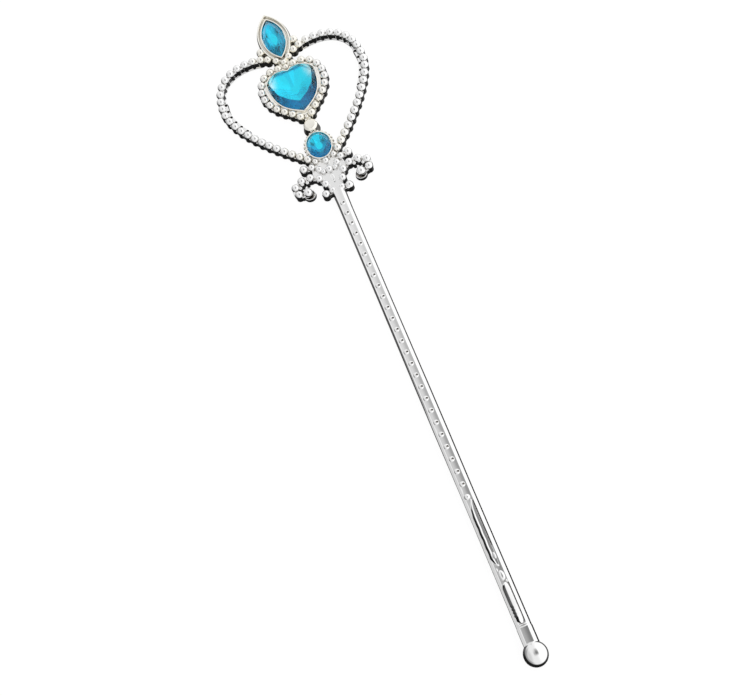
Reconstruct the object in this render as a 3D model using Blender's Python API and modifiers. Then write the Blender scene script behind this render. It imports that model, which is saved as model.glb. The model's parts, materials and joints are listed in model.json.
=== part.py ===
"""A child's dress-up wand, lying on its flat back.

One silver-plated plastic moulding carries a beaded open heart, a scroll base, a straight shaft
and a ball. Three faceted acrylic stones sit in its settings. +Y runs from the ball to the tip of
the head, +X goes across and +Z points out of the decorated front. The back of the moulding is the
plane z = 0, and the origin is on it, under the middle of the wand. Shapes off the middle are
placed on the right and mirrored.
"""

import math

import bmesh
import bpy
from mathutils import Vector
from mathutils.geometry import interpolate_bezier

MM = 0.001

# Overall sizes.
LENGTH = 305 * MM
TIP_Y = LENGTH / 2
BALL_RADIUS = 4.5 * MM
BALL_HEIGHT = 4.2 * MM  # of its centre, under its radius so that the ball gets a small flat spot

# Heights above the back.
EQUATOR = 3.0 * MM  # of every bead in the head: a round post below it and half a ball above it
BAND_TOP = 2.6 * MM  # of the bands that join the beads
PLATE_TOP = 3.3 * MM  # of the heart's and the oval's plates
RIM_TOP = 4.3 * MM  # of the thin rim around each stone, and of the pointed setting's outer rim
GROOVE_FLOOR = 3.5 * MM  # between the pointed setting's two rims
POCKET_FLOOR = 1.1 * MM
SHAFT_TOP = 4.6 * MM

# Beads.
BEAD_RADIUS = 1.85 * MM
BAND_WIDTH = 2.3 * MM
ARM_BEAD_RADIUS = 1.75 * MM
OUTLINE_LAST_RADIUS, ARM_LAST_RADIUS = 1.4 * MM, 2.0 * MM
OUTLINE_BEADS = 24
HALO_BEADS = 11
ARM_BEADS = 7

# The beaded lines of the right half, as Bezier spans: point, handle, handle, point.
OUTLINE_SPANS = (
    ((9.2, 130.9), (10.0, 131.7), (33.2, 137.2), (33.2, 112.8)),
    ((33.2, 112.8), (33.8, 97.0), (1.8, 68.5), (4.2, 71.1)),
)
HALO_SPANS = (
    ((3.6, 122.6), (13.2, 123.9), (14.4, 114.5), (14.4, 112.6)),
    ((14.4, 112.6), (14.4, 103.9), (6.1, 99.2), (2.6, 94.8)),
)
ARM_SPANS = (
    ((3.8, 58.8), (4.6, 64.2), (10.9, 66.4), (15.4, 63.6)),
    ((15.4, 63.6), (17.9, 62.0), (17.4, 57.4), (12.1, 58.2)),
)

# Single beads of the right half: x, y and radius.
UPPER_SETTING_BEADS = ((8.0, 134.5, 1.85), (6.2, 129.5, 1.8), (2.95, 127.1, 1.7))
SCROLL_BEADS = (
    (6.7, 68.9, 1.6),
    (10.2, 69.4, 1.85),
    (4.05, 66.7, 1.55),
    (2.7, 65.0, 0.9),
    (10.8, 62.95, 0.85),
    (13.1, 63.1, 0.85),
    (14.4, 61.7, 0.8),
    (5.3, 54.2, 1.8),
    (2.1, 54.8, 1.3),
)
CENTRE_BEADS = ((0, 124.9, 1.5), (0, 122.1, 1.5), (0, 94.0, 0.95), (0, 69.5, 1.4), (0, 65.0, 1.5))
DROP = (0.85, 60.6, 1.7)  # half width, y of its centre, half length
DROP_TOP = 4.1 * MM

# Straight strips under the single beads, each with its width, and the web behind the scroll base.
STRIPS = (
    (((9.2, 130.9), (5.5, 129.5)), 2.3),
    (((0, 98), (0, 80)), 2.8),
    (((0, 128), (0, 118)), 5.0),
    (((3.5, 68.7), (6.7, 68.9), (10.2, 69.4)), 2.3),
    (((1.5, 54.7), (5.3, 54.2)), 2.3),
)
WEB = ((2.4, 53), (3.2, 56.5), (4.2, 60.5), (6.6, 63.3), (7.4, 66.0), (6.6, 69.8), (4.4, 72.8))

# Settings: the stones' outlines, and how far plate and rim reach past them.
POINTED_Y, POINTED_HALF = 138.65 * MM, (4.85 * MM, 10.75 * MM)
POINTED_PLATE_Y, POINTED_PLATE_HALF = 138.2 * MM, (7.0 * MM, 14.3 * MM)
HEART_SPANS = (
    ((0, 97.0), (7.2, 101.3), (9.9, 103.7), (11.0, 114.8)),
    ((11.0, 114.8), (11.3, 118.4), (3.4, 122.7), (0, 118.6)),
)
HEART_Y = 110.5 * MM  # the point that the heart stone's rings shrink towards
OVAL_Y, OVAL_HALF = 77.6 * MM, (5.1 * MM, 6.2 * MM)
HEART_PLATE_REACH, OVAL_PLATE_REACH = 2.0 * MM, 1.2 * MM
RIM_REACH = 0.8 * MM
OUTER_RIM_WIDTH = 0.7 * MM  # of the pointed setting
GAP = 0.3 * MM  # between a stone and the walls and floor of its pocket

# Stones.
GIRDLE = 0.5 * MM
GIRDLE_Z = 3.6 * MM
CROWNS = {"pointed_stone": 1.9 * MM, "heart_stone": 2.3 * MM, "oval_stone": 2.0 * MM}
TABLE_SCALE = 0.76
CULET_SCALE = 0.35

# The round boss between the heart and the oval: outer and top radius, and its place.
BOSS_Y, BOSS_RADIUS, BOSS_FACE_RADIUS, BOSS_TOP = 88.6 * MM, 2.95 * MM, 2.1 * MM, 4.9 * MM

# Shaft: half widths at the back, at the side wall's top and of the front face, then its stations along Y.
SHAFT_BACK, SHAFT_SHOULDER, SHAFT_FACE = 3.05 * MM, 2.85 * MM, 1.8 * MM
SHOULDER_Z = 3.7 * MM
SHAFT_START_Y, COLLAR_START_Y, COLLAR_END_Y = 53.8 * MM, -138.0 * MM, -145.0 * MM
SHAFT_START_NARROW, COLLAR_WIDEN, COLLAR_STEP = 0.94, 1.07, 0.2 * MM
SHAFT_BEADS, SHAFT_BEAD_START_Y, SHAFT_BEAD_PITCH = 27, 46.6 * MM, 5.17 * MM
SHAFT_BEAD_RADIUS, SHAFT_BEAD_SUNK = 1.0 * MM, 0.15 * MM
LEAVES = ((-91.0, -115.4, 1.35), (-122.4, -137.4, 1.5))  # top y, bottom y and half width
LEAF_FOOT, LEAF_RISE = 0.02 * MM, 0.45 * MM  # over the front face
LEAF_RIDGE = (0.15, 0.8)  # width and length of the ridge, as shares of the leaf's
HANDLE_BEAD_Y = -118.9 * MM

# Roundness of the faceted solids.
BEAD_SIDES = 8
SMALL_BEAD_SIDES = 6
SMALL_BEAD = 1.2 * MM  # beads under this radius get fewer sides
BOSS_SIDES = 16
OVAL_SIDES = 24
DROP_SIDES = 8
BALL_SIDES, BALL_RINGS = 18, 10
ARC_STEPS = 8
LINE_STEPS = 40  # of a span that beads are set along
FLAT_ANGLE = math.radians(0.05)  # faces that meet at less than this are one face
MERGE = 0.001 * MM
CLEAR = 5 * MM  # how far a cutter reaches past what it cuts
SUNK = 1 * MM  # how far a raised detail of the shaft starts under its front face


def remove_everything():
    for thing in list(bpy.data.objects):
        bpy.data.objects.remove(thing, do_unlink=True)


def new_collection(name):
    collection = bpy.data.collections.new(name)
    bpy.context.scene.collection.children.link(collection)
    return collection


def new_material(name, colour, metallic, roughness):
    material = bpy.data.materials.new(name)
    material.use_nodes = True
    shader = material.node_tree.nodes["Principled BSDF"]
    shader.inputs["Base Color"].default_value = (*colour, 1)
    shader.inputs["Metallic"].default_value = metallic
    shader.inputs["Roughness"].default_value = roughness
    return material


# Outlines and lines, as lists of (x, y) in metres. Outlines run anticlockwise.


def along(spans, steps):
    """Points along Bezier spans whose numbers are in millimetres."""
    points = []
    for span in spans:
        start, leaving, arriving, end = (Vector((x, y, 0)) * MM for x, y in span)
        points += interpolate_bezier(start, leaving, arriving, end, steps)[bool(points) :]
    return [(point.x, point.y) for point in points]


def evenly(points, count):
    """The given number of points at equal distances along a line."""
    distances = [0.0]
    for a, b in zip(points, points[1:]):
        distances.append(distances[-1] + math.dist(a, b))
    found = []
    for k in range(count):
        wanted = distances[-1] * k / (count - 1)
        i = next((i for i in range(1, len(points)) if distances[i] >= wanted), len(points) - 1)
        share = (wanted - distances[i - 1]) / (distances[i] - distances[i - 1])
        (ax, ay), (bx, by) = points[i - 1], points[i]
        found.append((ax + (bx - ax) * share, ay + (by - ay) * share))
    return found


def grown(outline, distance):
    """The outline with each side moved outwards by the distance."""
    count = len(outline)
    found = []
    for k in range(count):
        before, here, after = (Vector(outline[(k + step) % count]) for step in (-1, 0, 1))
        first, second = (here - before).normalized(), (after - here).normalized()
        out = Vector((first.y + second.y, -first.x - second.x))
        found.append(tuple(here + out * distance / (1 + first.dot(second))))
    return found


def scaled(outline, centre_y, factor):
    return [(x * factor, centre_y + (y - centre_y) * factor) for x, y in outline]


def pointed_oval(centre_y, half):
    """Two arcs that meet in a point at each end."""
    half_width, half_length = half
    radius = (half_width**2 + half_length**2) / (2 * half_width)
    end = math.asin(half_length / radius)
    angles = [end * (2 * k / ARC_STEPS - 1) for k in range(ARC_STEPS)]
    right = [(radius * math.cos(a) - radius + half_width, radius * math.sin(a)) for a in angles]
    return [(x, centre_y + y) for x, y in right] + [(-x, centre_y - y) for x, y in right]


def ellipse(centre_y, half, sides=OVAL_SIDES):
    turns = [2 * math.pi * k / sides for k in range(sides)]
    return [(half[0] * math.cos(a), centre_y + half[1] * math.sin(a)) for a in turns]


def heart():
    right = along(HEART_SPANS, ARC_STEPS)
    return right + [(-x, y) for x, y in right[-2:0:-1]]


def ribbon(line, width):
    """The outline of a strip of this width along a line."""
    sides = [], []
    for k, here in enumerate(line):
        before, after = Vector(line[max(k - 1, 0)]), Vector(line[min(k + 1, len(line) - 1)])
        way = (after - before).normalized()
        across = Vector((way.y, -way.x)) * width / 2
        sides[0].append(tuple(Vector(here) + across))
        sides[1].append(tuple(Vector(here) - across))
    return sides[0] + sides[1][::-1]


# Solids.


def add_object(name, mesh, collection, location=(0, 0, 0)):
    thing = bpy.data.objects.new(name, mesh)
    thing.location = location
    collection.objects.link(thing)
    return thing


def as_mesh(guide):
    """A closed mesh of what a curve or a modified object shows, in place of that object."""
    view = bpy.context.evaluated_depsgraph_get()
    mesh = bpy.data.meshes.new_from_object(guide.evaluated_get(view))
    mesh.transform(guide.matrix_world)
    bm = bmesh.new()
    bm.from_mesh(mesh)
    bmesh.ops.remove_doubles(bm, verts=bm.verts, dist=MERGE)
    bmesh.ops.recalc_face_normals(bm, faces=bm.faces)
    bm.to_mesh(mesh)
    bm.free()
    mesh.name = guide.name
    bpy.data.objects.remove(guide, do_unlink=True)
    return mesh


def flat_plate(name, outline, bottom, top, collection, hole=None):
    """A filled flat curve, as thick as top less bottom, with one hole or none."""
    curve = bpy.data.curves.new(name, "CURVE")
    curve.dimensions = "2D"
    curve.fill_mode = "BOTH"
    curve.extrude = (top - bottom) / 2
    for loop in [outline, hole] if hole else [outline]:
        spline = curve.splines.new("POLY")
        spline.points.add(len(loop) - 1)
        for point, (x, y) in zip(spline.points, loop):
            point.co = (x, y, 0, 1)
        spline.use_cyclic_u = True
    guide = add_object(name, curve, collection, (0, 0, (top + bottom) / 2))
    bpy.context.view_layer.update()
    return add_object(name, as_mesh(guide), collection)


def turned(name, profile, sides, collection):
    """A mesh turned about Z from a profile of (radius, height) that runs from top to bottom."""
    mesh = bpy.data.meshes.new(name)
    mesh.from_pydata([(r, 0, z) for r, z in profile], [(k, k + 1) for k in range(len(profile) - 1)], [])
    guide = add_object(name, mesh, collection)
    screw = guide.modifiers.new("turn", "SCREW")
    screw.steps = screw.render_steps = sides
    screw.use_merge_vertices = True
    screw.merge_threshold = MERGE
    bpy.context.view_layer.update()
    return as_mesh(guide)


def lofted(name, rings):
    """A mesh whose rings of points are joined in turn and closed at both ends."""
    mesh = bpy.data.meshes.new(name)
    bm = bmesh.new()
    loops = [[bm.verts.new(point) for point in ring] for ring in rings]
    count = len(rings[0])
    for low, high in zip(loops, loops[1:]):
        for k in range(count):
            after = (k + 1) % count
            bm.faces.new((low[k], low[after], high[after], high[k]))
    bm.faces.new(loops[0][::-1])
    bm.faces.new(loops[-1])
    bmesh.ops.recalc_face_normals(bm, faces=bm.faces)
    bm.to_mesh(mesh)
    bm.free()
    return mesh


def bead_mesh(radius, foot, equator, collection):
    """A round post from its foot to the equator, with half a ball on it."""
    sides = SMALL_BEAD_SIDES if radius < SMALL_BEAD else BEAD_SIDES
    shoulder = (radius * math.cos(math.pi / 4), equator + radius * math.sin(math.pi / 4))
    profile = [(0, equator + radius), shoulder, (radius, equator), (radius, foot), (0, foot)]
    return turned("bead", profile, sides, collection)


def add_beads(places, collection):
    """A bead of the head at each (x, y, radius) in metres; those of one radius share a mesh."""
    meshes = {}
    for x, y, radius in places:
        if radius not in meshes:
            meshes[radius] = bead_mesh(radius, 0, EQUATOR, collection)
        add_object("bead", meshes[radius], collection, (x, y, 0))


def add_beaded_line(spans, count, collection, radius=BEAD_RADIUS, last=None):
    """Beads at equal distances along a line, on a band that joins them."""
    line = evenly(along(spans, LINE_STEPS), count)
    radii = [radius] * (count - 1) + [last or radius]
    add_beads([(x, y, r) for (x, y), r in zip(line, radii)], collection)
    flat_plate("band", ribbon(line, BAND_WIDTH), 0, BAND_TOP, collection)


def add_strips(collection):
    """The straight-sided strips that join the single beads."""
    for line, width in STRIPS:
        strip = ribbon([(x * MM, y * MM) for x, y in line], width * MM)
        flat_plate("strip", strip, 0, BAND_TOP, collection)


# The moulding, part by part.


def build_head(shapes):
    add_beaded_line(OUTLINE_SPANS, OUTLINE_BEADS, shapes, last=OUTLINE_LAST_RADIUS)
    add_beaded_line(HALO_SPANS, HALO_BEADS, shapes)
    singles = UPPER_SETTING_BEADS + SCROLL_BEADS + CENTRE_BEADS
    add_beads([(x * MM, y * MM, radius * MM) for x, y, radius in singles], shapes)
    add_strips(shapes)


def build_settings(shapes, pockets):
    """A plate, a rim and a pocket for each stone, and the boss."""
    pointed = pointed_oval(POINTED_Y, POINTED_HALF)
    oval = ellipse(OVAL_Y, OVAL_HALF)
    outer = pointed_oval(POINTED_PLATE_Y, POINTED_PLATE_HALF)
    groove = grown(outer, -OUTER_RIM_WIDTH)
    flat_plate("pointed plate", outer, 0, RIM_TOP, shapes)
    flat_plate("groove", groove, GROOVE_FLOOR, RIM_TOP + CLEAR, pockets, grown(pointed, RIM_REACH))
    flat_plate("heart plate", grown(heart(), HEART_PLATE_REACH), 0, PLATE_TOP, shapes)
    flat_plate("oval plate", grown(oval, OVAL_PLATE_REACH), 0, PLATE_TOP, shapes)
    for name, stone in (("pointed", pointed), ("heart", heart()), ("oval", oval)):
        flat_plate(f"{name} rim", grown(stone, RIM_REACH), 0, RIM_TOP, shapes)
        flat_plate(f"{name} pocket", grown(stone, GAP), POCKET_FLOOR, RIM_TOP + CLEAR, pockets)
    boss = [
        (0, BOSS_TOP),
        (BOSS_FACE_RADIUS, BOSS_TOP),
        (BOSS_RADIUS, BOSS_TOP - (BOSS_RADIUS - BOSS_FACE_RADIUS)),
        (BOSS_RADIUS, 0),
        (0, 0),
    ]
    add_object("boss", turned("boss", boss, BOSS_SIDES, shapes), shapes, (0, BOSS_Y, 0))


def build_scroll_base(shapes):
    """The two scrolled arms, and the web and the drop between them."""
    add_beaded_line(ARM_SPANS, ARM_BEADS, shapes, ARM_BEAD_RADIUS, ARM_LAST_RADIUS)
    web = WEB + tuple((-x, y) for x, y in WEB[::-1])
    flat_plate("web", [(x * MM, y * MM) for x, y in web], 0, PLATE_TOP, shapes)
    half_width, middle, half_length = (size * MM for size in DROP)
    drop = [
        [(x, y, height) for x, y in ellipse(middle, (half_width * share, half_length * share), DROP_SIDES)]
        for share, height in ((1, BAND_TOP), (1, (PLATE_TOP + DROP_TOP) / 2), (0.6, DROP_TOP))
    ]
    add_object("drop", lofted("drop", drop), shapes)


def shaft_mesh():
    """A strip with a flat front and sloping shoulders, a little wider along the collar."""
    section = [
        (SHAFT_BACK, 0),
        (SHAFT_SHOULDER, SHOULDER_Z),
        (SHAFT_FACE, SHAFT_TOP),
        (-SHAFT_FACE, SHAFT_TOP),
        (-SHAFT_SHOULDER, SHOULDER_Z),
        (-SHAFT_BACK, 0),
    ]
    stations = (
        (SHAFT_START_Y, SHAFT_START_NARROW),
        (COLLAR_START_Y + COLLAR_STEP, 1),
        (COLLAR_START_Y, COLLAR_WIDEN),
        (COLLAR_END_Y, COLLAR_WIDEN),
    )
    return lofted("wand_body", [[(x * widen, y, z) for x, z in section] for y, widen in stations])


def build_shaft_details(shapes):
    small = bead_mesh(SHAFT_BEAD_RADIUS, SHAFT_TOP - SUNK, SHAFT_TOP - SHAFT_BEAD_SUNK, shapes)
    for k in range(SHAFT_BEADS):
        add_object("shaft bead", small, shapes, (0, SHAFT_BEAD_START_Y - k * SHAFT_BEAD_PITCH, 0))
    add_object("handle bead", small, shapes, (0, HANDLE_BEAD_Y, 0))
    for top, bottom, half_width in LEAVES:
        middle, half = (top + bottom) / 2 * MM, (half_width * MM, (top - bottom) / 2 * MM)
        foot = pointed_oval(middle, half)
        ridge = [(x * LEAF_RIDGE[0], middle + (y - middle) * LEAF_RIDGE[1]) for x, y in foot]
        rings = [
            [(x, y, SHAFT_TOP - SUNK) for x, y in foot],
            [(x, y, SHAFT_TOP + LEAF_FOOT) for x, y in foot],
            [(x, y, SHAFT_TOP + LEAF_RISE) for x, y in ridge],
        ]
        add_object("leaf", lofted("leaf", rings), shapes)


def build_ball(shapes):
    """The ball at the end of the shaft, cut flat at the level of the back."""
    centre = (0, BALL_RADIUS - TIP_Y, BALL_HEIGHT)
    bpy.ops.mesh.primitive_uv_sphere_add(
        segments=BALL_SIDES, ring_count=BALL_RINGS, radius=BALL_RADIUS, location=centre
    )
    ball = bpy.context.active_object
    ball.name = "ball"
    bm = bmesh.new()
    bm.from_mesh(ball.data)
    cut = bmesh.ops.bisect_plane(
        bm,
        geom=bm.verts[:] + bm.edges[:] + bm.faces[:],
        plane_co=(0, 0, -BALL_HEIGHT),
        plane_no=(0, 0, 1),
        clear_inner=True,
    )
    bmesh.ops.edgeloop_fill(bm, edges=[e for e in cut["geom_cut"] if isinstance(e, bmesh.types.BMEdge)])
    bm.to_mesh(ball.data)
    bm.free()
    ball.users_collection[0].objects.unlink(ball)
    shapes.objects.link(ball)


def add_boolean(thing, operation, operands):
    boolean = thing.modifiers.new(operation.lower(), "BOOLEAN")
    boolean.operation = operation
    boolean.solver = "EXACT"
    boolean.operand_type = "COLLECTION"
    boolean.collection = operands


def stands_right(thing):
    """Whether an object lies wholly to the right of the middle, and so has a twin on the left."""
    return min(thing.location.x + vert.co.x for vert in thing.data.vertices) > 0


def build_body(wand, shapes, pockets, silver, root):
    """The shaft with every raised shape joined to it, and the pockets cut out."""
    build_head(shapes)
    build_settings(shapes, pockets)
    build_scroll_base(shapes)
    build_shaft_details(shapes)
    build_ball(shapes)
    for operand in [*shapes.objects, *pockets.objects]:
        operand.hide_render = True
        operand.display_type = "WIRE"
        if stands_right(operand):
            mirror = operand.modifiers.new("left twin", "MIRROR")
            mirror.mirror_object = root
            mirror.use_mirror_merge = False
    body = add_object("wand_body", shaft_mesh(), wand)
    body.data.materials.append(silver)
    add_boolean(body, "UNION", shapes)
    add_boolean(body, "DIFFERENCE", pockets)
    flat = body.modifiers.new("join flat faces", "DECIMATE")
    flat.decimate_type = "DISSOLVE"
    flat.angle_limit = FLAT_ANGLE
    return body


def build_stone(name, outline, centre_y, wand, blue):
    """A stone from its small flat culet out to the girdle and in to the table."""
    culet_z, girdle_top = POCKET_FLOOR + GAP, GIRDLE_Z + GIRDLE
    levels = (
        (CULET_SCALE, culet_z),
        (1, GIRDLE_Z),
        (1, girdle_top),
        (TABLE_SCALE, girdle_top + CROWNS[name]),
    )
    rings = [[(x, y, z) for x, y in scaled(outline, centre_y, share)] for share, z in levels]
    stone = add_object(name, lofted(name, rings), wand)
    stone.data.materials.append(blue)
    return stone


def main():
    remove_everything()
    wand = new_collection("dress-up wand")
    shapes = new_collection("raised shapes")
    pockets = new_collection("pocket cutters")
    root = add_object("root", None, wand)
    silver = new_material("silver_plating", (0.82, 0.82, 0.80), 1.0, 0.12)
    blue = new_material("blue_acrylic", (0.02, 0.45, 0.78), 0.0, 0.05)
    pieces = [
        build_body(wand, shapes, pockets, silver, root),
        build_stone("pointed_stone", pointed_oval(POINTED_Y, POINTED_HALF), POINTED_Y, wand, blue),
        build_stone("heart_stone", heart(), HEART_Y, wand, blue),
        build_stone("oval_stone", ellipse(OVAL_Y, OVAL_HALF), OVAL_Y, wand, blue),
    ]
    for piece in pieces:
        piece.parent = root


main()
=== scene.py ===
# %% [markdown]
# # A child's dress-up wand in silver and blue
# The wand is one flat-backed plastic moulding with a bright silver plating, and three faceted acrylic stones
# are glued into it. It lies on its back. The frame that is loaded here holds the plain solids at their real
# size. This lesson builds the fine surface around them: round beads, soft edges, dimples and cut stones.

# %% Load the frame
import json
import math

import bmesh
import bpy
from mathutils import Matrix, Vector
from mathutils.geometry import interpolate_bezier

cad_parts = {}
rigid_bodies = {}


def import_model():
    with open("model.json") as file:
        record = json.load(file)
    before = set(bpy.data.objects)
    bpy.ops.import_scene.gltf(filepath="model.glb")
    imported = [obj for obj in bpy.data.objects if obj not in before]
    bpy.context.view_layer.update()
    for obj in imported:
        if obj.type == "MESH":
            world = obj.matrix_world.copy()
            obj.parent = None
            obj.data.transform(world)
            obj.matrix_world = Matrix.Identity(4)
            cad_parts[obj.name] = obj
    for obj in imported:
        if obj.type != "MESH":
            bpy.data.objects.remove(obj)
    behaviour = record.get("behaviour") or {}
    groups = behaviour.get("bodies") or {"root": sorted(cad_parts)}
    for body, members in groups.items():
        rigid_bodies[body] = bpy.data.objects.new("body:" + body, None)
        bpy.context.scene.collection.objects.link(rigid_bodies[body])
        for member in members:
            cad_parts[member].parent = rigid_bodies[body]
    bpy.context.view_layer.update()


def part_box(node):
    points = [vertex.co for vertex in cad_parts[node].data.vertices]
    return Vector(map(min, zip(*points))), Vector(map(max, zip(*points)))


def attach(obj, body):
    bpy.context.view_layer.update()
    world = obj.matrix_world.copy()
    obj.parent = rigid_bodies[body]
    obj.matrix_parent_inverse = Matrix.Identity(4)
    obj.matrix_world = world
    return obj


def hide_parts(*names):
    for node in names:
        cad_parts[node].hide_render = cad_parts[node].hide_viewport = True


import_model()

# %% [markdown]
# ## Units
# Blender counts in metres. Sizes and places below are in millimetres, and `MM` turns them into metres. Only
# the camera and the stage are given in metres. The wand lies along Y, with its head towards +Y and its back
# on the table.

MM = 0.001
scene = bpy.context.scene
body_low, body_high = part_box("wand_body")
print(f"the wand is {(body_high.y - body_low.y) / MM:.0f} mm long, and its back is at z = {body_low.z:.4f}")

# %% [markdown]
# ## The camera
# It stands just past the ball and leans towards the head, so the ball is seen from above and the head from a
# slant. The camera is made first, since everything after it is judged through it. It's less than half a
# metre away, so the ball looks a little larger beside the head than it is.

# %% The camera
CAMERA_PLACE = (-0.0046, -0.1669, 0.3783)
CAMERA_TURNS = (19.704, 8.823, -21.117)  # degrees about X, Y and Z
LENS = 48.574

camera = bpy.data.objects.new("camera", bpy.data.cameras.new("camera"))
camera.data.lens = LENS
camera.data.clip_start = 0.01
camera.location = CAMERA_PLACE
camera.rotation_euler = [math.radians(turn) for turn in CAMERA_TURNS]
scene.collection.objects.link(camera)
scene.camera = camera
scene.view_settings.view_transform = "Standard"
print(f"the camera is {CAMERA_PLACE[2]:.2f} m over the table")

# %% [markdown]
# ## Shader maths
# A material is a graph of nodes, and a graph is hard to read as code. So this class wraps a socket, and its
# operators add the Math nodes: `1 - mask * 0.3` is then a line of Python and three nodes of the material.


# %% Sockets with arithmetic
class Value:
    """A socket whose value changes over a surface."""

    def __init__(self, recipe, socket):
        self.recipe = recipe
        self.socket = socket

    def maths(self, operation, *others):
        return self.recipe.node("ShaderNodeMath", {"operation": operation}, dict(enumerate([self, *others])))

    def __add__(self, other):
        return self.maths("ADD", other)

    def __mul__(self, other):
        return self.maths("MULTIPLY", other)

    def __sub__(self, other):
        return self.maths("SUBTRACT", other)

    def __neg__(self):
        return self.maths("MULTIPLY", -1)

    def __rsub__(self, other):
        return -self + other

    __radd__ = __add__
    __rmul__ = __mul__

    def step(self, low, high):
        """0 below low, 1 above high, and a smooth rise between them. High may be the lower one."""
        settings = {"interpolation_type": "SMOOTHSTEP", "clamp": True}
        return self.recipe.node("ShaderNodeMapRange", settings, {0: self, 1: low, 2: high, 3: 0, 4: 1})


class Recipe:
    """The node tree of one material, or of the world."""

    def __init__(self, owner):
        owner.use_nodes = True
        self.tree = owner.node_tree

    def node(self, kind, settings=(), sockets=(), output=0):
        """A new node: its settings are set first, then the values or links of its sockets."""
        made = self.tree.nodes.new(kind)
        for name, value in dict(settings).items():
            setattr(made, name, value)
        for name, value in dict(sockets).items():
            self.feed(made.inputs[name], value)
        return Value(self, made.outputs[output])

    def feed(self, socket, value):
        if isinstance(value, Value):
            self.tree.links.new(value.socket, socket)
        else:
            socket.default_value = value

    def shader(self, **sockets):
        """The material's Principled shader, with an underscore for each space in a socket's name."""
        principled = self.tree.nodes["Principled BSDF"]
        for name, value in sockets.items():
            self.feed(principled.inputs[name.replace("_", " ")], value)

    def mixed(self, share, first, second):
        """A colour between two, by a share from 0 to 1."""
        return self.node("ShaderNodeMix", {"data_type": "RGBA"}, {0: share, 6: first, 7: second}, 2)

    def axes(self, vector):
        """The three numbers of a vector, as values."""
        parts = self.node("ShaderNodeSeparateXYZ", (), {0: vector}).socket.node
        return [Value(self, output) for output in parts.outputs]


def colour(red, green, blue):
    """A colour socket takes four numbers. The last is how solid the colour is."""
    return (red, green, blue, 1)


print("a material can now be written as sums and products")

# %% [markdown]
# ## The light
# Bright metal has no look of its own: it shows what stands around it. Here that is a white tent, brightest on
# the right, with a darker strip low on the left. Well below the horizon it turns dark, so the tops of beads
# are white and the walls under them nearly black. The world's shader is such a tent, because it knows the
# direction of each ray: `up` is 0 at the horizon and -1 straight down. Where the camera sees the tent itself,
# it's plain white.

# %% The tent
DARK_BELOW, WHITE_ABOVE = -0.52, -0.30
EDGE_SLANT = -0.25  # the edge between dark and white is lower towards the head and the right
SKY, SIDE_CHANGE = 0.88, 0.22  # the white, and what it gains on the right and loses far left
STRIP_DEPTH = 0.45  # how much the strip low on the left takes away
UNDERSIDE, UNDER_HEAD, UNDER_RIGHT = 0.012, 0.12, 0.10  # the dark, and what it gains on two sides

world = bpy.data.worlds.new("tent")
scene.world = world
tent = Recipe(world)
direction = tent.node("ShaderNodeTexCoord", (), (), 0)
east, north, up = tent.axes(direction)
edge = (east * 0.8 + north * 0.45) * EDGE_SLANT
above = up.step(edge + DARK_BELOW, edge + WHITE_ABOVE)
sky = SKY + east.step(0.0, 0.5) * SIDE_CHANGE - (-east).step(0.5, 0.85) * SIDE_CHANGE
low_left = (-east).step(0.25, 0.85) * (1 - up.step(0.0, 0.25)) * STRIP_DEPTH
under = UNDERSIDE + north.step(0.1, 0.7) * UNDER_HEAD + east.step(0.3, 0.8) * UNDER_RIGHT
brightness = above * sky * (1 - low_left) + (1 - above) * under
seen_by_camera = tent.node("ShaderNodeLightPath")
background = world.node_tree.nodes["Background"]
tent.feed(background.inputs["Strength"], brightness.maths("MAXIMUM", seen_by_camera))
background.inputs["Color"].default_value = colour(1, 1, 1)
print(f"the tent's light is {UNDERSIDE} under the wand and up to {SKY + SIDE_CHANGE:.1f} on the right")

# %% [markdown]
# ## Card and table
# A big grey card hangs over the wand and gives the flat front of the handle its grey. It's lighter on the
# left and darker towards the ball, and it fades out at its edges, so its mirror image has no hard border.
# Only mirror images show it. The white table shines by itself, so the wand throws hardly any shadow on it.
# Neither is part of the wand.


# %% Sheets
def add_object(name, mesh, place=(0, 0, 0)):
    thing = bpy.data.objects.new(name, mesh)
    thing.location = place
    scene.collection.objects.link(thing)
    return thing


def sheet_mesh(name, width, length):
    """A flat sheet. A grid of one square is 1 by 1 at first, and is then stretched."""
    mesh = bpy.data.meshes.new(name)
    bm = bmesh.new()
    bmesh.ops.create_grid(bm, x_segments=1, y_segments=1, size=0.5)
    bmesh.ops.scale(bm, verts=bm.verts, vec=(width, length, 1))
    bm.to_mesh(mesh)
    bm.free()
    return mesh


# %% The grey card
CARD_WIDTH, CARD_LENGTH, CARD_PLACE = 0.5, 0.85, (0.05, 0.07, 0.45)
SIDE_FADE, BALL_FADE, HEAD_FADE = 0.3, 0.28, 0.6  # over how much of its size it fades at each edge
CARD_GREY, LEFT_GAIN = 0.36, 0.32
BALL_SHARE, HEAD_GAIN = 0.62, 0.38  # how much of its grey it has near the ball, and what it gains further on

card_material = bpy.data.materials.new("grey_card")
paper = Recipe(card_material)
across, lengthwise, _ = paper.axes(paper.node("ShaderNodeTexCoord", (), (), 0))
between_sides = across.step(0, SIDE_FADE) * (1 - across).step(0, SIDE_FADE)
solid_part = between_sides * lengthwise.step(0, BALL_FADE) * (1 - lengthwise).step(0, HEAD_FADE)
grey = CARD_GREY + LEFT_GAIN * (1 - across.step(0.33, 0.48))
grey = grey * (BALL_SHARE + HEAD_GAIN * lengthwise.step(0.3, 0.55))
card_colour = paper.node("ShaderNodeCombineXYZ", (), {0: grey, 1: grey, 2: grey})
card_light = paper.node("ShaderNodeEmission", (), {0: card_colour, 1: 1.0})
nothing = paper.node("ShaderNodeBsdfTransparent")
faded_card = paper.node("ShaderNodeMixShader", (), {0: solid_part, 1: nothing, 2: card_light})
paper.feed(paper.tree.nodes["Material Output"].inputs["Surface"], faded_card)
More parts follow.
